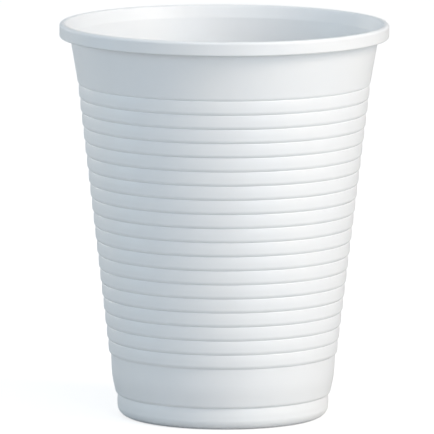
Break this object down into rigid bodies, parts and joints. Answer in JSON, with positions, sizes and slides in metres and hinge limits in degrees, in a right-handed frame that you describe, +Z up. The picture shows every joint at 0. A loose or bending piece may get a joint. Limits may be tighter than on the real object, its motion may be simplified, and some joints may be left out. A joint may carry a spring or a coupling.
{
  "type": "disposable drinking cup",
  "caption": "Tapered disposable drinking cup in thin white plastic, with a ribbed wall, a rolled rim and a stepped foot ring.",
  "frame": {"origin": "centre of the foot ring's contact circle, on the surface that the cup stands on", "axes": "+Z up along the cup's axis, out of the mouth; the cup is round about Z, so X and Y are free"},
  "size_m": [0.0702, 0.0702, 0.0844],
  "materials": {
    "white_plastic": "satin white polystyrene sheet, slightly translucent"
  },
  "bodies": {
    "root": {"cup": "white_plastic"}
  },
  "joints": []
}
